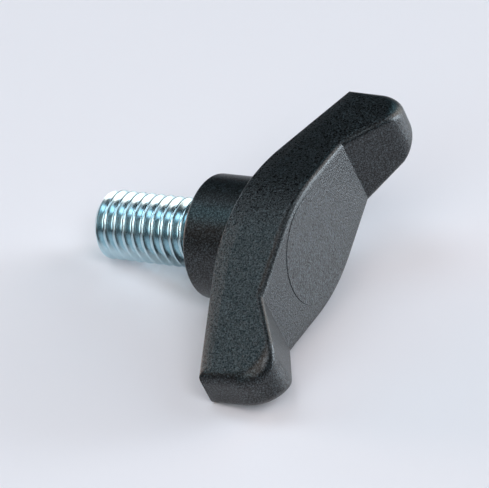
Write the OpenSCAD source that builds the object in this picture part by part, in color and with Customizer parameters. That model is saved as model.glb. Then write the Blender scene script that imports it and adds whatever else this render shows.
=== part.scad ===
// Male wing knob: a moulded plastic wing body on a steel threaded stud.
// It lies as it comes to rest on a table, on the stud's tip, the hub's rim and one wing's corner.
// The origin is the centre of the hub's seating face. The stud points along -X and a little down,
// the wings lie along Y, and the wing on the +Y side stands clear of the table.

/* [Threaded stud] */
// Diameter over the crests of the thread
thread_d = 7.9; // [5:0.1:8.6]
// Length of thread that stands out of the hub
stud_out = 14; // [8:0.5:40]
// Height of the chamfer at the tip
tip_chamfer = 0.6; // [0.2:0.1:1.2]
// Diameter of the neck inside the hub, between the thread and the collar
neck_d = 6.4; // [3.5:0.1:7]
// Length of the neck
neck_l = 3; // [1:0.1:4]
// Diameter of the knurled collar at the moulded-in end
collar_d = 9; // [8:0.1:10]
// Length of the knurled collar
collar_l = 5; // [2:0.1:6]
// Number of flutes round the collar
flutes = 16; // [8:1:20]
// Radius of each flute
flute_r = 0.4; // [0.2:0.05:0.5]

/* [Hub] */
// Diameter of the round hub
hub_d = 14; // [12.5:0.1:14.2]
// Height from the seating face to the underside of the wings
hub_h = 5.65; // [3:0.05:10]
// Radius of the hub's rim
hub_rim_r = 0.35; // [0.1:0.05:1]

/* [Wings] */
// Distance between the outer ends of the wings
span = 42.2; // [38:0.1:60]
// Thickness through the middle of the bulge
bulge_t = 14.6; // [14.5:0.1:17]
// Radius that rounds the bulge where its two flanks meet
bulge_r = 17.6; // [8:0.1:40]
// Thickness at the outer ends
end_t = 4.8; // [4:0.1:8]
// Height of the flat top above the seating face
top_h = 13.1; // [12.5:0.1:20]
// Distance from the axis at which the underside starts to rise
knee_x = 7; // [6.5:0.1:12]
// Radius of the underside's bend at that place
knee_r = 20; // [5:1:30]
// Height of the lower outer corners above the seating face
corner_h = 8.8; // [6:0.05:11]

/* [Ears] */
// Distance from the axis to the crease at the foot of each ear
crease_x = 11.05; // [8:0.05:14]
// Height of the ear tips above the seating face
ear_h = 16.6; // [14.5:0.1:26]
// Radius of the ear tips in outline
ear_r = 3.4; // [2:0.05:5]

/* [Edges] */
// Edge radius along the top and the ears' inner slopes
top_edge_r = 0.8; // [0.3:0.05:1.2]
// Edge radius round the ear tips
tip_edge_r = 1.6; // [0.5:0.05:1.7]
// Edge radius at the lower outer corners
end_edge_r = 0.9; // [0.3:0.05:1.5]
// Edge radius along the underside
under_edge_r = 0.3; // [0.1:0.05:0.6]
// Height of the tapered skirt above the underside, at the middle
skirt_mid_h = 2.3; // [1:0.1:4]
// Height of the tapered skirt at the wings' outer ends
skirt_end_h = 1.4; // [0.8:0.1:3]
// Taper of the skirt
skirt_a = 6; // [2:0.5:8]
// Diameter of the mould insert's witness mark on the top
mark_d = 12.9; // [6:0.1:13]
// Height by which the insert's face stands out of the top
mark_h = 0.06; // [0.03:0.01:0.15]

/* [Hidden] */
$fn = 96;

plastic = "#26292b";
zinc = "#c3cdd6";

stud_r = thread_d / 2;
hub_r = hub_d / 2;
end_x = span / 2;
stud_in = neck_l + collar_l;
collar_chamfer = 0.4;
over = 0.01;                        // overshoot of a cut past the face it opens

// ---- the two flanks of the plan view: a round bulge with a tangent flank on each side ----
bulge_c = bulge_t / 2 - bulge_r;    // centre of the bulge's arc, on the plan view's thickness axis
flank_a = atan2(end_x, end_t / 2 - bulge_c)
        - acos(bulge_r / norm([end_x, end_t / 2 - bulge_c]));
bulge_x = bulge_r * sin(flank_a);   // where the arc ends and the flat flank starts

// Half thickness of the wings at distance x from the axis
function half_t(x) = abs(x) < bulge_x
    ? bulge_c + sqrt(bulge_r * bulge_r - x * x)
    : end_t / 2 + (end_x - abs(x)) * tan(flank_a);

// ---- the front view: flat, knee and slope below; flat top, crease, slope and ear tip above ----
under_a = atan((corner_h - hub_h) / (end_x - knee_x));
knee_t = knee_r * tan(under_a / 2);
ear_c = [end_x - ear_r, ear_h - ear_r];     // centre of the ear tip's arc
crease_to_ear = ear_c - [crease_x, top_h];
ear_a = atan2(crease_to_ear.y, crease_to_ear.x) + asin(ear_r / norm(crease_to_ear));

// How far an edge of radius r draws the outline in at depth d below the face
function drawn_in(r, d) = d >= r ? 0 : r - sqrt(r * r - (r - d) * (r - d));

// Height of the underside at distance x, with its outline drawn in by s
function under_z(x, s) =
    x < knee_x - knee_t ? hub_h + s
    : x < knee_x + knee_t * cos(under_a) - s * sin(under_a)
        ? hub_h + knee_r - sqrt(pow(knee_r - s, 2) - pow(x - knee_x + knee_t, 2))
    : hub_h + (x - knee_x) * tan(under_a) + s / cos(under_a);

// Edge radius at point k of the ear tip's arc: it grows to tip_edge_r at the tip, and part of the
// way back down to the radius at the wing's outer end
tip_foot_r = (end_edge_r + tip_edge_r) / 2;
function tip_r(k) = let (foot_r = k < arc_n / 2 ? top_edge_r : tip_foot_r)
    foot_r + (tip_edge_r - foot_r) * sin(180 * k / arc_n);

// How far the skirt and its edge draw the underside's outline in at distance x and depth d
function skirt_in(x, d) =
    let (h = skirt_mid_h + (skirt_end_h - skirt_mid_h) * x / end_x,
         skirt_d = (h - under_edge_r) * tan(skirt_a))
    d < skirt_d ? h - d / tan(skirt_a) : drawn_in(under_edge_r, d - skirt_d);

// Point k of the ear tip's arc at depth d below the face
function ear_point(k, d) =
    let (a = (90 + ear_a) * (1 - k / arc_n), r = ear_r - drawn_in(tip_r(k), d))
    [ear_c.x + r * cos(a), ear_c.y + r * sin(a)];

// Crease at the ear's foot, where the drawn-in top meets the drawn-in slope
function crease_point(d) = let (s = drawn_in(top_edge_r, d))
    [crease_x + s * (1 / cos(ear_a) - 1) / tan(ear_a), top_h - s];

bulge_n = 8;        // steps across half the bulge
slope_n = 3;        // steps between bulge and crease, and between crease and ear tip
arc_n = 14;         // steps round the ear tip
out_n = 2 * slope_n + arc_n;

// Upper outline from the middle out to the end of the wing, at depth d below the face
function upper(d) =
    let (c = crease_point(d), e = ear_point(0, d), top_z = top_h - drawn_in(top_edge_r, d))
    concat(
        [for (i = [0:bulge_n]) [bulge_r * sin(flank_a * i / bulge_n), top_z]],
        [for (i = [1:slope_n]) [bulge_x + (c.x - bulge_x) * i / slope_n, top_z]],
        [for (i = [1:slope_n - 1]) c + (e - c) * i / slope_n],
        [for (k = [0:arc_n]) ear_point(k, d)]
    );

// Lower outline from the middle out to the wing's corner, with as many points as the upper one
function lower(d) =
    let (x1 = end_x - drawn_in(end_edge_r, d), xs = concat(
        [for (i = [0:bulge_n]) bulge_r * sin(flank_a * i / bulge_n)],
        [for (i = [1:out_n]) bulge_x + (x1 - bulge_x) * i / out_n]
    ))
    [for (x = xs) [x, under_z(x, skirt_in(x, d))]];

// Closed ring at depth d: along the underside from the far end, back along the top
function mirrored(points) = [for (i = [len(points) - 1:-1:1]) [-points[i].x, points[i].y]];
function reversed(points) = [for (i = [len(points) - 1:-1:0]) points[i]];
function outline(d) = concat(mirrored(lower(d)), lower(d), reversed(concat(mirrored(upper(d)), upper(d))));
function ring(d, side) = [for (p = outline(d)) [p.x, side * (half_t(p.x) - d), p.y]];

edge_n = 9;         // steps across each edge radius
depth_max = max(top_edge_r, tip_edge_r, end_edge_r);
depths = [for (i = [0:edge_n]) depth_max * (1 - cos(90 * i / edge_n))];
chain = 2 * (bulge_n + out_n) + 1;  // points along the underside, and again along the top
loop = 2 * chain;

// The wings: rings of the outline from the front face, round the edges, to the back face
module wings() {
    rings = concat(
        [for (d = depths) ring(d, 1)],
        [for (i = [edge_n:-1:0]) ring(depths[i], -1)]
    );
    n = len(rings);
    points = [for (r = rings) for (p = r) p];
    walls = [for (j = [0:n - 2]) for (i = [0:loop - 1])
        let (a = j * loop + i, b = j * loop + (i + 1) % loop)
        each [[a, a + loop, b], [b, a + loop, b + loop]]];
    // The front and back faces, in strips from the underside up to the top
    front = [for (i = [0:chain - 2]) let (a = i, b = i + 1, c = loop - 2 - i, d = loop - 1 - i)
        each [[a, b, c], [a, c, d]]];
    back = [for (f = front) [for (i = [2:-1:0]) f[i] + (n - 1) * loop]];
    polyhedron(points, concat(front, walls, back));
}

// The hub, a turned form that ends inside the wings
module hub() {
    rotate_extrude() {
        translate([hub_r - hub_rim_r, hub_rim_r]) intersection() {
            circle(hub_rim_r, $fn = 24);
            translate([0, -hub_rim_r]) square(hub_rim_r);
        }
        square([hub_r - hub_rim_r, hub_h + under_edge_r]);
        translate([0, hub_rim_r]) square([hub_r, hub_h + under_edge_r - hub_rim_r]);
    }
}

// The stud along its own axis: chamfered tip, thread over its crests, neck and knurled collar
module stud() {
    difference() {
        rotate_extrude() polygon([
            [0, -stud_out],
            [stud_r - tip_chamfer, -stud_out],
            [stud_r, -stud_out + tip_chamfer],
            [stud_r, 0],
            [neck_d / 2, stud_r - neck_d / 2],
            [neck_d / 2, neck_l],
            [collar_d / 2 - collar_chamfer, neck_l],
            [collar_d / 2, neck_l + collar_chamfer],
            [collar_d / 2, stud_in - collar_chamfer],
            [collar_d / 2 - collar_chamfer, stud_in],
            [0, stud_in]
        ]);
        for (i = [0:flutes - 1]) rotate([0, 0, 360 * i / flutes])
            translate([collar_d / 2, 0, neck_l - over])
                cylinder(h = collar_l + 2 * over, r = flute_r, $fn = 24);
    }
}

// ---- how the knob lies: the stud's tip and the hub's rim on one line, one wing's corner down ----
tip_edge = [stud_r, -stud_out + tip_chamfer];
rim_c = [hub_r - hub_rim_r, hub_rim_r];
tip_to_rim = rim_c - tip_edge;
tilt = atan2(tip_to_rim.x, tip_to_rim.y) + asin(hub_rim_r / norm(tip_to_rim));
rest_h = tip_edge.x * cos(tilt) - tip_edge.y * sin(tilt);   // height of the axis over the table

// Roll at which the wing's corner meets the table at depth d, where its rounded edges run together
function roll_at(d) =
    let (x = end_x - drawn_in(end_edge_r, d),
         y = half_t(x) - d,
         z = under_z(x, skirt_in(x, d)))
    asin((rest_h + z * sin(tilt)) / cos(tilt) / norm([x, y])) - atan2(y, x);
roll = min([for (d = depths) roll_at(d)]);

module lay_down() rotate([0, 90 - tilt, 0]) rotate([0, 0, 90 + roll]) children();

module wing_body() {
    color(plastic) lay_down() difference() {
        union() {
            wings();
            hub();
            translate([0, 0, top_h - over]) cylinder(h = mark_h + over, d = mark_d);
        }
        stud();
    }
}

module threaded_stud() {
    color(zinc) lay_down() stud();
}

wing_body();
threaded_stud();
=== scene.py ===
import math

import bmesh
import bpy
from mathutils import Matrix


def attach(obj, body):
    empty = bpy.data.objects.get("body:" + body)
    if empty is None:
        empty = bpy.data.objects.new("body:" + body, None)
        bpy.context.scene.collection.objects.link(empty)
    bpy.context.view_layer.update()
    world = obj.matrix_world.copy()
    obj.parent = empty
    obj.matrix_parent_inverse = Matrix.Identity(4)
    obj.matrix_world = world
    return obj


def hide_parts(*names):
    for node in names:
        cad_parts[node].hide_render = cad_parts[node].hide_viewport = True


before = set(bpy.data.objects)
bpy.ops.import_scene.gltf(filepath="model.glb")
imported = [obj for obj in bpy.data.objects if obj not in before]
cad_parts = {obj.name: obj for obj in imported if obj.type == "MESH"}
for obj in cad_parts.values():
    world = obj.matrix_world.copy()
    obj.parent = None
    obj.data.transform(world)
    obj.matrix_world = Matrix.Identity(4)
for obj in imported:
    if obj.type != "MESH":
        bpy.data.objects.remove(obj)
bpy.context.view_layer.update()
millimetre = 0.001
print("frame loaded")


# the knob is modelled upright, stud down, in mm, then laid on the table by this turn
pose = {
    "tilt": 12.5407,  # degrees the stud drops below level
    "roll": 18.9087,  # degrees one wing is rolled down, until its corner meets the table
    "axisHeight": 6.76535,  # mm from the table up to the stud's axis at the seating face
}
layDown = (
    Matrix.Scale(millimetre, 4)
    @ Matrix.Rotation(math.radians(90 - pose["tilt"]), 4, "Y")
    @ Matrix.Rotation(math.radians(90 + pose["roll"]), 4, "Z")
)


def linear(hexColour):
    # sRGB hex to the linear values that shaders take
    parts = [int(hexColour[i : i + 2], 16) / 255 for i in (1, 3, 5)]
    return [c / 12.92 if c <= 0.04045 else ((c + 0.055) / 1.055) ** 2.4 for c in parts] + [1.0]


def meshObject(name, bm):
    # closes the bmesh into an object, with its faces turned outwards
    bmesh.ops.remove_doubles(bm, verts=bm.verts, dist=1e-4)
    bmesh.ops.recalc_face_normals(bm, faces=bm.faces)
    mesh = bpy.data.meshes.new(name)
    bm.to_mesh(mesh)
    bm.free()
    made = bpy.data.objects.new(name, mesh)
    bpy.context.scene.collection.objects.link(made)
    return made


def combine(base, tool, operation):
    # applies one boolean to base and removes the tool
    step = base.modifiers.new(operation.lower(), "BOOLEAN")
    step.operation = operation
    step.solver = "MANIFOLD"
    step.object = tool
    view = bpy.context.evaluated_depsgraph_get()
    result = bpy.data.meshes.new_from_object(base.evaluated_get(view))
    base.modifiers.clear()
    base.data = result
    bpy.data.objects.remove(tool)
    return base


def turned(name, profile, steps):
    # spins a profile of (radius, height) points round the knob's axis
    bm = bmesh.new()
    points = [bm.verts.new((r, 0, z)) for r, z in profile]
    lines = [bm.edges.new(pair) for pair in zip(points, points[1:])]
    bmesh.ops.spin(
        bm, geom=points + lines, cent=(0, 0, 0), axis=(0, 0, 1), dvec=(0, 0, 0),
        angle=2 * math.pi, steps=steps, use_merge=True, use_duplicate=False,
    )
    return meshObject(name, bm)


def arc(centre, radius, first, last, steps):
    # points of an arc in the profile plane, angles in degrees
    turn = [math.radians(first + (last - first) * i / steps) for i in range(steps + 1)]
    return [(centre[0] + radius * math.cos(a), centre[1] + radius * math.sin(a)) for a in turn]


def finishPiece(piece, sharpAngle):
    # lays the piece down, and shades it smooth but for its real corners
    bm = bmesh.new()
    bm.from_mesh(piece.data)
    bmesh.ops.remove_doubles(bm, verts=bm.verts, dist=2e-4)
    bmesh.ops.dissolve_degenerate(bm, edges=bm.edges, dist=1e-4)
    bmesh.ops.transform(bm, matrix=layDown, verts=bm.verts)
    for face in bm.faces:
        face.smooth = True
    for edge in bm.edges:
        edge.smooth = not edge.is_manifold or edge.calc_face_angle(0) < math.radians(sharpAngle)
    bm.to_mesh(piece.data)
    bm.free()
    weighted = piece.modifiers.new("even shading", "WEIGHTED_NORMAL")
    weighted.mode = "FACE_AREA"
    weighted.keep_sharp = True
    weighted.weight = 80
    return piece


# wing moulding, sizes in mm
wing = {
    "span": 42.2, "bulgeThickness": 14.6, "bulgeRadius": 17.6, "endThickness": 4.8,
    "topHeight": 13.1, "kneeDistance": 7.0, "kneeRadius": 20.0, "cornerHeight": 8.8,
    "creaseDistance": 11.05, "earHeight": 16.6, "earRadius": 3.4,
    "topEdge": 0.8, "tipEdge": 1.6, "endEdge": 0.9, "underEdge": 0.3,
    "skirtMiddle": 2.3, "skirtEnd": 1.4, "skirtTaper": 6.0,
    "hubDiameter": 14.0, "hubHeight": 5.65, "hubRim": 0.35,
    "markDiameter": 12.9, "markHeight": 0.06, "markEdge": 0.048,
    "markRoot": 0.4,  # how deep the mark is sunk in the top, to join it
    "bulgeSteps": 20, "slopeSteps": 6, "earSteps": 30, "edgeSteps": 12, "roundSteps": 160,
    "sharpAngle": 24,
}


def wingShape(sizes):
    # the numbers that follow from the sizes: the bulge's arc, the underside's slope, the ear's slope
    shape = dict(sizes)
    endX, halfEnd = sizes["span"] / 2, sizes["endThickness"] / 2
    centre = sizes["bulgeThickness"] / 2 - sizes["bulgeRadius"]
    reach = math.hypot(endX, halfEnd - centre)
    flank = math.atan2(endX, halfEnd - centre) - math.acos(sizes["bulgeRadius"] / reach)
    under = math.atan((sizes["cornerHeight"] - sizes["hubHeight"]) / (endX - sizes["kneeDistance"]))
    earCentre = (endX - sizes["earRadius"], sizes["earHeight"] - sizes["earRadius"])
    rise = (earCentre[0] - sizes["creaseDistance"], earCentre[1] - sizes["topHeight"])
    shape.update(
        endX=endX, bulgeCentre=centre, flank=flank, bulgeX=sizes["bulgeRadius"] * math.sin(flank),
        under=under, kneeLength=sizes["kneeRadius"] * math.tan(under / 2), earCentre=earCentre,
        earSlope=math.atan2(rise[1], rise[0]) + math.asin(sizes["earRadius"] / math.hypot(*rise)),
    )
    return shape


def evenSteps(first, last, count):
    return [first + (last - first) * i / count for i in range(1, count + 1)]


def bulgePlaces(shape):
    # even steps round the bulge's arc, from the middle of the knob to the flank
    radius, flank, steps = shape["bulgeRadius"], shape["flank"], shape["bulgeSteps"]
    return [radius * math.sin(flank * i / steps) for i in range(steps + 1)]


def halfThickness(shape, x):
    if abs(x) < shape["bulgeX"]:
        return shape["bulgeCentre"] + math.sqrt(shape["bulgeRadius"] ** 2 - x * x)
    return shape["endThickness"] / 2 + (shape["endX"] - abs(x)) * math.tan(shape["flank"])


def drawnIn(radius, depth):
    # how far a rounded edge has drawn the outline in at this depth below the face
    return 0.0 if depth >= radius else radius - math.sqrt(radius**2 - (radius - depth) ** 2)


def skirtIn(shape, x, depth):
    # the same for the underside, where the skirt's taper comes before its rounded edge
    height = shape["skirtMiddle"] + (shape["skirtEnd"] - shape["skirtMiddle"]) * x / shape["endX"]
    slope = math.tan(math.radians(shape["skirtTaper"]))
    skirtDepth = (height - shape["underEdge"]) * slope
    if depth < skirtDepth:
        return height - depth / slope
    return drawnIn(shape["underEdge"], depth - skirtDepth)


def undersideHeight(shape, x, inset):
    start, bend, under = shape["kneeDistance"] - shape["kneeLength"], shape["kneeLength"], shape["under"]
    if x < start:
        return shape["hubHeight"] + inset
    if x < shape["kneeDistance"] + bend * math.cos(under) - inset * math.sin(under):
        drop = math.sqrt((shape["kneeRadius"] - inset) ** 2 - (x - start) ** 2)
        return shape["hubHeight"] + shape["kneeRadius"] - drop
    return shape["hubHeight"] + (x - shape["kneeDistance"]) * math.tan(under) + inset / math.cos(under)


def lowerChain(shape, depth):
    endX = shape["endX"] - drawnIn(shape["endEdge"], depth)
    xs = bulgePlaces(shape) + evenSteps(shape["bulgeX"], endX, 2 * shape["slopeSteps"] + shape["earSteps"])
    return [(x, undersideHeight(shape, x, skirtIn(shape, x, depth))) for x in xs]


def upperChain(shape, depth):
    # flat top, crease, the ear's slope, then round the ear's tip and down to the end
    inset, slope = drawnIn(shape["topEdge"], depth), shape["earSlope"]
    creaseX = shape["creaseDistance"] + inset * (1 / math.cos(slope) - 1) / math.tan(slope)
    top = shape["topHeight"] - inset
    centreX, centreZ = shape["earCentre"]
    tip = []
    for k in range(shape["earSteps"] + 1):
        part = k / shape["earSteps"]
        foot = shape["topEdge"] if part < 0.5 else (shape["endEdge"] + shape["tipEdge"]) / 2
        edge = foot + (shape["tipEdge"] - foot) * math.sin(math.pi * part)
        turn = (math.pi / 2 + slope) * (1 - part)
        radius = shape["earRadius"] - drawnIn(edge, depth)
        tip.append((centreX + radius * math.cos(turn), centreZ + radius * math.sin(turn)))
    steps = shape["slopeSteps"]
    ramp = zip(evenSteps(creaseX, tip[0][0], steps), evenSteps(top, tip[0][1], steps))
    flat = bulgePlaces(shape) + evenSteps(shape["bulgeX"], creaseX, steps)
    return [(x, top) for x in flat] + list(ramp)[:-1] + tip


def chainEdges(bm, points, closed=False):
    verts = [bm.verts.new(p) for p in points]
    pairs = list(zip(verts, verts[1:])) + ([(verts[-1], verts[0])] if closed else [])
    return verts, [bm.edges.new(pair) for pair in pairs]


def makeWings(shape):
    # rings of the outline are drawn in step by step round the edge, and bridged one to the next
    bm = bmesh.new()
    deepest = max(shape["topEdge"], shape["tipEdge"], shape["endEdge"])
    turns = [math.pi / 2 * i / shape["edgeSteps"] for i in range(shape["edgeSteps"] + 1)]
    depths = [deepest * (1 - math.cos(turn)) for turn in turns]
    rings = [(d, 1) for d in depths] + [(d, -1) for d in reversed(depths)]
    previous = None
    for index, (depth, side) in enumerate(rings):
        lower, upper = lowerChain(shape, depth), upperChain(shape, depth)
        lower = [(-x, z) for x, z in reversed(lower[1:])] + lower
        upper = [(-x, z) for x, z in reversed(upper[1:])] + upper
        place = [(x, side * (halfThickness(shape, x) - depth), z) for x, z in lower + upper[::-1]]
        verts, edges = chainEdges(bm, place, closed=True)
        if previous:
            bmesh.ops.bridge_loops(bm, edges=previous + edges)
        if index in (0, len(rings) - 1):
            # the broad faces run in strips from the underside up to the top
            half = len(lower)
            bmesh.ops.bridge_loops(bm, edges=edges[: half - 1] + edges[half : 2 * half - 1])
        previous = edges
    return meshObject("wingMoulding", bm)


def makeHub(shape):
    radius, rim, top = shape["hubDiameter"] / 2, shape["hubRim"], shape["hubHeight"] + shape["underEdge"]
    profile = [(0, 0)] + arc((radius - rim, rim), rim, -90, 0, 8) + [(radius, top), (0, top)]
    return turned("hub", profile, shape["roundSteps"])


def makeMark(shape):
    # the mould's round insert leaves a slight step in the top
    radius, top = shape["markDiameter"] / 2, shape["topHeight"] + shape["markHeight"]
    edge, root = shape["markEdge"], shape["topHeight"] - shape["markRoot"]
    profile = [(0, root), (radius, root)] + arc((radius - edge, top - edge), edge, 0, 90, 4) + [(0, top)]
    return turned("mark", profile, shape["roundSteps"])


# threaded stud, sizes in mm
stud = {
    "crestRadius": 3.95, "pitch": 1.25, "length": 14.0,
    "crestHeight": -2.2606, "crestTurn": 127.4,  # height of one crest, at this many degrees round the axis
    "tipChamfer": 0.6, "neckRadius": 3.2, "neckLength": 3.0,
    "collarRadius": 4.5, "collarLength": 5.0, "collarChamfer": 0.4,
    "flutes": 16, "fluteRadius": 0.4,
    "overlap": 0.3,  # what is joined or trimmed runs on by this much
    "runOut": 0.1,  # how far inside the neck the thread's cone ends
    "threadTop": 1.0,  # where the thread is cut off, above that cone's end
    "turnSteps": 120, "roundSteps": 180, "coreSteps": 128, "fluteSteps": 20,
    "sharpAngle": 40,
}


# the rolled thread from the middle of a crest to the middle of a root: distance along the axis, and radius
crestToRoot = [
    (0.0, 3.950), (0.048, 3.944), (0.092, 3.917), (0.125, 3.868),
    (0.450, 3.305), (0.490, 3.258), (0.550, 3.235), (0.625, 3.230),
]


def onePitch(pitch):
    return crestToRoot + [(pitch - z, r) for z, r in crestToRoot[-2:0:-1]]


def makeThread(sizes):
    bm = bmesh.new()
    pitch, steps = sizes["pitch"], sizes["turnSteps"]
    turns = int(sizes["length"] / pitch) + 5  # enough to be trimmed at both ends
    first = -sizes["length"] - 2 * pitch
    # the profile starts on a crest at angle 0 of the spin
    first += (sizes["crestHeight"] - first - pitch * sizes["crestTurn"] / 360) % pitch
    profile = [(r, 0, first + n * pitch + z) for n in range(turns) for z, r in onePitch(pitch)]
    verts, edges = chainEdges(bm, profile)
    bmesh.ops.spin(
        bm, geom=verts + edges, cent=(0, 0, 0), axis=(0, 0, 1), dvec=(0, 0, pitch / steps),
        angle=2 * math.pi, steps=steps, use_merge=False, use_duplicate=False,
    )
    bmesh.ops.remove_doubles(bm, verts=bm.verts, dist=1e-3)
    for height, outward in ((-sizes["length"] - sizes["overlap"], -1), (sizes["threadTop"], 1)):
        bmesh.ops.bisect_plane(
            bm, geom=bm.verts[:] + bm.edges[:] + bm.faces[:], dist=1e-5,
            plane_co=(0, 0, height), plane_no=(0, 0, outward), clear_outer=True,
        )
    bmesh.ops.holes_fill(bm, edges=[e for e in bm.edges if e.is_boundary], sides=0)
    return meshObject("threadedStud", bm)


def makeEnvelope(sizes):
    # trims the thread to its chamfered tip, and to the cone where it runs out inside the hub
    over, inside = sizes["overlap"], sizes["runOut"]
    tip, crest, neck = -sizes["length"], sizes["crestRadius"], sizes["neckRadius"]
    profile = [
        (0, tip), (crest - sizes["tipChamfer"], tip), (crest + over, tip + sizes["tipChamfer"] + over),
        (crest + over, -over), (neck - inside, crest - neck + inside), (0, crest - neck + inside),
    ]
    return turned("envelope", profile, sizes["roundSteps"])


def makeCore(sizes):
    # neck and knurled collar, which the plastic is moulded round
    neck, collar, soft = sizes["neckRadius"], sizes["collarRadius"], sizes["collarChamfer"]
    foot, start = sizes["overlap"], sizes["neckLength"]
    end = start + sizes["collarLength"]
    profile = [
        (0, foot), (neck, foot), (neck, start), (collar - soft, start), (collar, start + soft),
        (collar, end - soft), (collar - soft, end), (0, end),
    ]
    core = turned("core", profile, sizes["coreSteps"])
    bm = bmesh.new()
    radius, depth = sizes["fluteRadius"], sizes["collarLength"] + sizes["overlap"]
    place = Matrix.Translation((collar, 0, (start + end) / 2))
    for n in range(sizes["flutes"]):
        turn = Matrix.Rotation(2 * math.pi * n / sizes["flutes"], 4, "Z")
        bmesh.ops.create_cone(
            bm, cap_ends=True, segments=sizes["fluteSteps"], radius1=radius, radius2=radius, depth=depth,
            matrix=turn @ place,
        )
    return combine(core, meshObject("flutes", bm), "DIFFERENCE")


threadedStud = combine(makeThread(stud), makeEnvelope(stud), "INTERSECT")
threadedStud = combine(threadedStud, makeCore(stud), "UNION")
print("threaded stud made")

wingData = wingShape(wing)
wingMoulding = makeWings(wingData)
wingMoulding = combine(wingMoulding, makeHub(wingData), "UNION")
wingMoulding = combine(wingMoulding, makeMark(wingData), "UNION")
cavity = bpy.data.objects.new("cavity", threadedStud.data.copy())
bpy.context.scene.collection.objects.link(cavity)
wingMoulding = combine(wingMoulding, cavity, "DIFFERENCE")
print("wing moulding made")

finishPiece(threadedStud, stud["sharpAngle"])
finishPiece(wingMoulding, wing["sharpAngle"])


def addNode(tree, kind, settings=None, inputs=None, links=None):
    # one node with its settings, socket values and incoming links
    node = tree.nodes.new(kind)
    for key, value in (settings or {}).items():
        setattr(node, key, value)
    named = {socket.name: socket for socket in reversed(node.inputs) if socket.enabled}
    sockets = named | dict(enumerate(node.inputs))
    for key, value in (inputs or {}).items():
        sockets[key].default_value = value
    for key, source in (links or {}).items():
        tree.links.new(source, sockets[key])
    return node


def knobAxis(index):
    # direction of the upright knob's own axis once it is laid down
    return layDown.to_3x3().normalized().col[index][:]


def mixedColour(mix):
    # the colour output of a mix node
    return next(socket for socket in mix.outputs if socket.enabled)


def newMaterial(name):
    material = bpy.data.materials.new(name)
    material.use_nodes = True
    material.node_tree.nodes.clear()
    return material, material.node_tree


# Glass-filled nylon, injection moulded: black, with a fine matt grain where the mould was spark-eroded,
# which breaks each reflection into small sparkles, and a smoother satin on the hub and the rounded edges.
nylon = {
    # dark is the nylon's black; from lightFrom to lightTo of the grit it turns to light, so the grit's lows
    # carry painted shade
    "dark": "#030405", "light": "#36444a", "lightFrom": 0.50, "lightTo": 0.72,
    "gritSize": 0.17, "pitSize": 0.29,  # mm, coarser than real grit, which would be too fine to show
    "gritDepth": 0.038, "satinDepth": 0.012,  # mm
    "low": 0.35, "high": 0.65,  # the range of the noise that counts as lows and tops of the grit
    "smooth": 0.24, "matt": 0.50, "satin": 0.35,  # roughness on its lows, on its tops and off the grain
    "dull": 0.25, "bright": 0.72,  # strength of its reflections, on lows and tops
    "squareFrom": 0.90, "squareTo": 0.955,  # how squarely a broad face has to lie to carry the grain
    "ior": 1.53,
}


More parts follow.
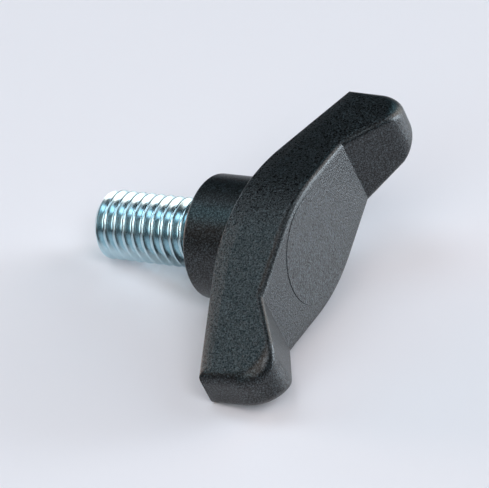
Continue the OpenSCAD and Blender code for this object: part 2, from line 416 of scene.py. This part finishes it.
def sparkErodedNylon():
    material, tree = newMaterial("spark-eroded black nylon")
    here = addNode(tree, "ShaderNodeTexCoord").outputs["Object"]
    # back to the upright knob in mm, so each size above is a real one
    upright = addNode(
        tree, "ShaderNodeMapping", {"vector_type": "TEXTURE"},
        {"Rotation": layDown.to_euler(), "Scale": (millimetre,) * 3}, {"Vector": here})
    place = upright.outputs["Vector"]

    # the grain lies on the broad flanks and the top, above the hub
    facing = addNode(tree, "ShaderNodeNewGeometry").outputs["Normal"]
    across = addNode(
        tree, "ShaderNodeVectorMath", {"operation": "DOT_PRODUCT"}, {1: knobAxis(1)}, {0: facing})
    flank = addNode(tree, "ShaderNodeMath", {"operation": "ABSOLUTE"}, links={0: across.outputs["Value"]})
    upward = addNode(
        tree, "ShaderNodeVectorMath", {"operation": "DOT_PRODUCT"}, {1: knobAxis(2)}, {0: facing})
    broad = addNode(
        tree, "ShaderNodeMath", {"operation": "MAXIMUM"},
        links={0: flank.outputs[0], 1: upward.outputs["Value"]})
    height = addNode(tree, "ShaderNodeSeparateXYZ", links={"Vector": place}).outputs["Z"]
    aboveHub = addNode(
        tree, "ShaderNodeMath", {"operation": "GREATER_THAN"}, {1: wing["hubHeight"]}, {0: height})
    square = addNode(
        tree, "ShaderNodeMapRange", {"interpolation_type": "SMOOTHSTEP"},
        {"From Min": nylon["squareFrom"], "From Max": nylon["squareTo"]}, {"Value": broad.outputs[0]})
    grained = addNode(
        tree, "ShaderNodeMath", {"operation": "MULTIPLY"},
        links={0: square.outputs["Result"], 1: aboveHub.outputs[0]}).outputs[0]

    # grit and pits stand out as relief
    fine = {"Scale": 1 / nylon["gritSize"], "Detail": 2.0, "Roughness": 0.6}
    coarse = {"Scale": 1 / nylon["pitSize"], "Detail": 3.0}
    grit = addNode(tree, "ShaderNodeTexNoise", inputs=fine, links={"Vector": place}).outputs["Fac"]
    pits = addNode(tree, "ShaderNodeTexNoise", inputs=coarse, links={"Vector": place}).outputs["Fac"]
    relief = addNode(tree, "ShaderNodeMath", {"operation": "ADD"}, links={0: grit, 1: pits})
    depths = {"To Min": nylon["satinDepth"] * millimetre, "To Max": nylon["gritDepth"] * millimetre}
    depth = addNode(tree, "ShaderNodeMapRange", inputs=depths, links={"Value": grained})
    bump = addNode(
        tree, "ShaderNodeBump", inputs={"Strength": 1.0},
        links={"Height": relief.outputs[0], "Distance": depth.outputs["Result"]})

    # and its tops are paler and matter than its lows: the lows are painted darker, as painted shade in the
    # grain's pits
    speckleWithPaintedShade = addNode(
        tree, "ShaderNodeMapRange", inputs={"From Min": nylon["lightFrom"], "From Max": nylon["lightTo"]},
        links={"Value": grit})
    tone = addNode(
        tree, "ShaderNodeMix", {"data_type": "RGBA"},
        {"A": linear(nylon["dark"]), "B": linear(nylon["light"])}, {"Factor": speckleWithPaintedShade.outputs["Result"]})
    lowsToTops = {"From Min": nylon["low"], "From Max": nylon["high"]}
    roughness = lowsToTops | {"To Min": nylon["smooth"], "To Max": nylon["matt"]}
    reflection = lowsToTops | {"To Min": nylon["dull"], "To Max": nylon["bright"]}
    mattness = addNode(tree, "ShaderNodeMapRange", inputs=roughness, links={"Value": grit})
    sheen = addNode(tree, "ShaderNodeMapRange", inputs=reflection, links={"Value": grit})
    gloss = addNode(
        tree, "ShaderNodeMix", {"data_type": "FLOAT"}, {"A": nylon["satin"]},
        {"Factor": grained, "B": mattness.outputs["Result"]})
    surface = addNode(
        tree, "ShaderNodeBsdfPrincipled", inputs={"IOR": nylon["ior"]},
        links={"Base Color": mixedColour(tone), "Roughness": gloss.outputs[0],
               "Specular IOR Level": sheen.outputs["Result"], "Normal": bump.outputs["Normal"]})
    addNode(tree, "ShaderNodeOutputMaterial", links={"Surface": surface.outputs["BSDF"]})
    return material


# Rolled steel, zinc plated and blue passivated: bright metal, slightly clouded, with a cold tint.
zincPlate = {
    "shade": "#a8cad4", "bright": "#d6eaf0",
    "cloudSize": 1.1111,  # mm
    "polished": 0.17, "clouded": 0.27,  # roughness
    "dimpleDepth": 0.03,  # mm
    "dimpleStrength": 0.08,
}


def zincPlatedSteel():
    material, tree = newMaterial("blue-passivated zinc plate")
    place = addNode(tree, "ShaderNodeTexCoord").outputs["Object"]
    clouding = {"Scale": 1 / (zincPlate["cloudSize"] * millimetre), "Detail": 3.0}
    cloud = addNode(tree, "ShaderNodeTexNoise", inputs=clouding, links={"Vector": place}).outputs["Fac"]
    tone = addNode(
        tree, "ShaderNodeMix", {"data_type": "RGBA"},
        {"A": linear(zincPlate["shade"]), "B": linear(zincPlate["bright"])}, {"Factor": cloud})
    roughness = {"To Min": zincPlate["polished"], "To Max": zincPlate["clouded"]}
    gloss = addNode(tree, "ShaderNodeMapRange", inputs=roughness, links={"Value": cloud})
    dimples = {"Strength": zincPlate["dimpleStrength"], "Distance": zincPlate["dimpleDepth"] * millimetre}
    bump = addNode(tree, "ShaderNodeBump", inputs=dimples, links={"Height": cloud})
    surface = addNode(
        tree, "ShaderNodeBsdfPrincipled", inputs={"Metallic": 1.0},
        links={"Base Color": mixedColour(tone), "Roughness": gloss.outputs["Result"],
               "Normal": bump.outputs["Normal"]})
    addNode(tree, "ShaderNodeOutputMaterial", links={"Surface": surface.outputs["BSDF"]})
    return material


# Painted board, satin: pale and even, with a faint mirror of what stands on it.
board = {"paint": "#f8f5fa", "roughness": 0.24, "ior": 1.45}


def satinBoard():
    material, tree = newMaterial("satin painted board")
    surface = addNode(
        tree, "ShaderNodeBsdfPrincipled",
        inputs={"Base Color": linear(board["paint"]), "Roughness": board["roughness"], "IOR": board["ior"]})
    addNode(tree, "ShaderNodeOutputMaterial", links={"Surface": surface.outputs["BSDF"]})
    return material


for piece, node, slotName, material in (
    (wingMoulding, "wing_body", "plastic", sparkErodedNylon()),
    (threadedStud, "threaded_stud", "zinc_plated_steel", zincPlatedSteel()),
):
    piece.data.materials.clear()
    piece.data.materials.append(material)
    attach(piece, "root")
    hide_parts(node)
print("materials set")


studio = {
    "tableSize": 3.0,
    "cameraPlace": (0.174361, -0.305046, 0.246511),
    "cameraTurn": (54.8195, 29.2239, 0.0432),  # tilt, azimuth and roll in degrees
    "lens": 283.06, "sensorWidth": 36.0,
    "nearest": 0.01, "farthest": 20.0,
    "lampDistance": 1.0,
}
lampTints = {
    "white": "#fdfdf8", "cool": "#e6f4ff", "ivory": "#fff0e7", "warm": "#ffe4d8", "teal": "#9fe2f6",
}
# round softboxes: azimuth and elevation in degrees, watts, metres across and tint
softboxes = {
    "lowBackRight": (45, 8, 7.2, 0.46, "cool"),
    "lowBack": (75, 8, 1.2, 0.46, "white"),
    "lowFarLeft": (165, 8, 2.0, 0.46, "cool"),
    "lowLeft": (195, 8, 4.8, 0.46, "warm"),
    "backRight": (60, 28, 1.5, 0.46, "ivory"),
    "highBack": (36, 48, 1.1, 0.46, "cool"),
    "overCamera": (288, 48, 4.7, 1.1, "ivory"),
    "besideCamera": (324, 48, 2.1, 0.46, "cool"),
    "overLeft": (180, 68, 1.9, 0.46, "cool"),
    "tealBack": (90, 28, 0.6, 0.46, "teal"),
    "tealLeft": (200, 40, 1.0, 0.46, "teal"),
    "tealFront": (270, 30, 0.8, 0.46, "teal"),
}

# table top
bm = bmesh.new()
bmesh.ops.create_grid(bm, x_segments=1, y_segments=1, size=studio["tableSize"] / 2,
                      matrix=Matrix.Translation((0, 0, -pose["axisHeight"] * millimetre)))
tableMesh = bpy.data.meshes.new("table")
bm.to_mesh(tableMesh)
bm.free()
table = bpy.data.objects.new("table", tableMesh)
table.data.materials.append(satinBoard())
bpy.context.scene.collection.objects.link(table)

for name, (azimuth, elevation, watts, size, tint) in softboxes.items():
    data = bpy.data.lights.new(name, "AREA")
    data.shape, data.size = "DISK", size
    data.energy, data.color = watts, linear(lampTints[tint])[:3]
    light = bpy.data.objects.new(name, data)
    around, up = math.radians(azimuth), math.radians(elevation)
    outward = Matrix.Rotation(around, 3, "Z") @ Matrix.Rotation(-up, 3, "Y")
    light.location = outward.col[0] * studio["lampDistance"]
    light.rotation_mode = "QUATERNION"
    light.rotation_quaternion = light.location.to_track_quat("Z", "Y")
    bpy.context.scene.collection.objects.link(light)

# the softboxes give all the light, so the world stays dark
world = bpy.data.worlds.new("studio")
bpy.context.scene.world = world
world.use_nodes = True
world.node_tree.nodes["Background"].inputs["Strength"].default_value = 0.0
bpy.context.scene.view_settings.view_transform = "Standard"

cameraData = bpy.data.cameras.new("camera")
cameraData.sensor_width = studio["sensorWidth"]
cameraData.lens = studio["lens"]
cameraData.clip_start, cameraData.clip_end = studio["nearest"], studio["farthest"]
camera = bpy.data.objects.new("camera", cameraData)
tiltUp, azimuth, twist = (math.radians(a) for a in studio["cameraTurn"])
camera.matrix_world = (
    Matrix.Translation(studio["cameraPlace"]) @ Matrix.Rotation(azimuth, 4, "Z")
    @ Matrix.Rotation(tiltUp, 4, "X") @ Matrix.Rotation(twist, 4, "Z")
)
bpy.context.scene.collection.objects.link(camera)
bpy.context.scene.camera = camera
print("stage set")
